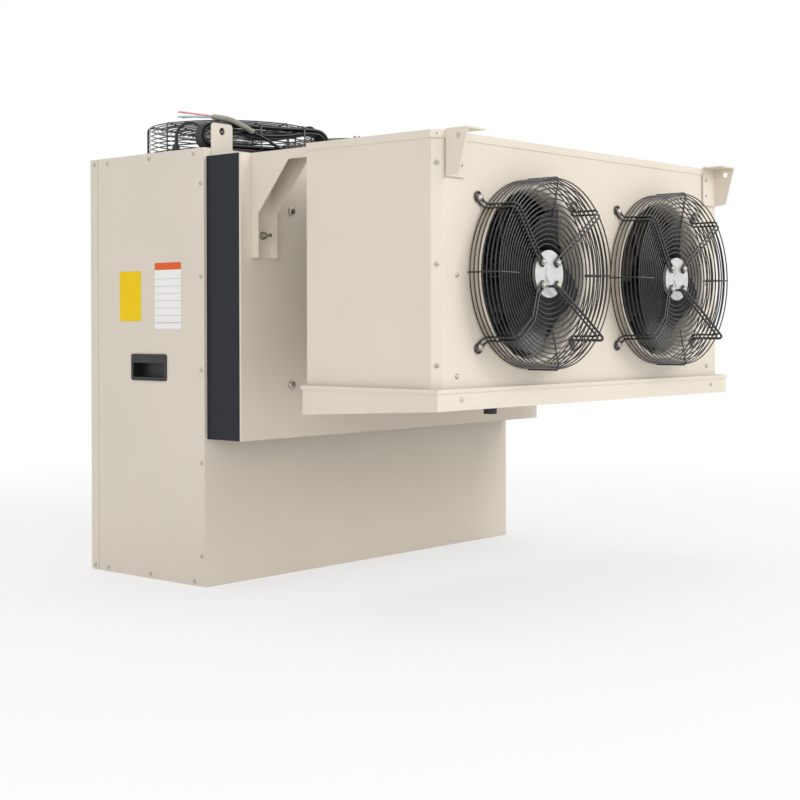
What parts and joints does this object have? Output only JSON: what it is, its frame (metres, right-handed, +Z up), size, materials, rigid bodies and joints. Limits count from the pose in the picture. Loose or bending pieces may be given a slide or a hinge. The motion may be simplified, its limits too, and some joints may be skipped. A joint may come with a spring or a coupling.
{
  "type": "monoblock freezer unit",
  "caption": "Through-the-wall refrigeration unit: upright condensing cabinet, insulated wall plug and hung evaporator with caged fans.",
  "frame": {"origin": "centre of the cabinet's underside", "axes": "+X to the right seen from the evaporator's fan side, -Y the way the evaporator blows, +Z up"},
  "size_m": [1.1368, 1.1955, 1.0929],
  "materials": {
    "cream_paint": "satin powder coat",
    "galvanised": "galvanised sheet",
    "fin_aluminium": "thin bright fins",
    "zinc_steel": "zinc plated",
    "black_wire": "gloss black coated wire",
    "cast_aluminium": "bead-blasted die casting",
    "blade_black": "semi-gloss black paint",
    "black_plastic": "moulded",
    "band_rubber": "smooth sheet",
    "mount_rubber": "moulded",
    "foam": "rigid foam",
    "compressor_black": "gloss black paint",
    "copper": "copper, lightly oxidised",
    "heater_steel": "sheathed rod",
    "cable_black": "flexible jacket",
    "sleeve_grey": "flexible sleeve"
  },
  "bodies": {
    "unit": {"base_pan": "galvanised", "cabinet_front_panel": "cream_paint", "cabinet_left_panel": "cream_paint", "cabinet_rear_panel": "cream_paint", "cabinet_right_panel": "cream_paint", "cabinet_top_panel": "cream_paint", "cable_gland": "black_plastic", "cable_hank": "cable_black", "cable_lead": "cable_black", "cable_tail": "sleeve_grey", "compressor": "compressor_black", "compressor_mounts": "mount_rubber", "condenser_coil_ends": "galvanised", "condenser_fins": "fin_aluminium", "condenser_left_guard": "black_wire", "condenser_left_motor": "cast_aluminium", "condenser_right_guard": "black_wire", "condenser_right_motor": "cast_aluminium", "control_box": "black_plastic", "control_box_cover": "black_plastic", "defrost_heaters": "heater_steel", "discharge_pipe": "copper", "drain_stub": "black_plastic", "drip_tray": "cream_paint", "evaporator_coil_ends": "galvanised", "evaporator_fins": "fin_aluminium", "evaporator_front": "cream_paint", "evaporator_left_guard": "black_wire", "evaporator_left_motor": "cast_aluminium", "evaporator_left_side": "cream_paint", "evaporator_rear_frame": "cream_paint", "evaporator_right_guard": "black_wire", "evaporator_right_motor": "cast_aluminium", "evaporator_right_side": "cream_paint", "evaporator_roof": "cream_paint", "expansion_valve": "copper", "filter_drier": "copper", "left_front_bracket": "cream_paint", "left_handle": "black_plastic", "left_hanger": "cream_paint", "left_lifting_lug": "cream_paint", "liquid_pipe": "copper", "liquid_receiver": "compressor_black", "motor_leads": "cable_black", "plug_band": "band_rubber", "plug_core": "foam", "plug_cover": "cream_paint", "plug_fasteners": "zinc_steel", "receiver_pipe": "copper", "receiver_saddles": "galvanised", "right_front_bracket": "cream_paint", "right_handle": "black_plastic", "right_hanger": "cream_paint", "right_lifting_lug": "cream_paint", "screws": "zinc_steel", "suction_pipe": "copper"},
    "evaporator_left_fan": {"evaporator_left_rotor": "blade_black"},
    "evaporator_right_fan": {"evaporator_right_rotor": "blade_black"},
    "condenser_left_fan": {"condenser_left_rotor": "blade_black"},
    "condenser_right_fan": {"condenser_right_rotor": "blade_black"}
  },
  "joints": [
    {"name": "evaporator_left_spin", "type": "hinge", "parent": "unit", "child": "evaporator_left_fan", "pos_m": [-0.2554, -0.8921, 0.7012], "axis": [0, -1, 0], "continuous": true},
    {"name": "evaporator_right_spin", "type": "hinge", "parent": "unit", "child": "evaporator_right_fan", "pos_m": [0.2554, -0.8921, 0.7012], "axis": [0, -1, 0], "continuous": true},
    {"name": "condenser_left_spin", "type": "hinge", "parent": "unit", "child": "condenser_left_fan", "pos_m": [-0.29, 0, 0.998], "axis": [0, 0, 1], "continuous": true},
    {"name": "condenser_right_spin", "type": "hinge", "parent": "unit", "child": "condenser_right_fan", "pos_m": [0.17, 0, 0.998], "axis": [0, 0, 1], "continuous": true}
  ]
}
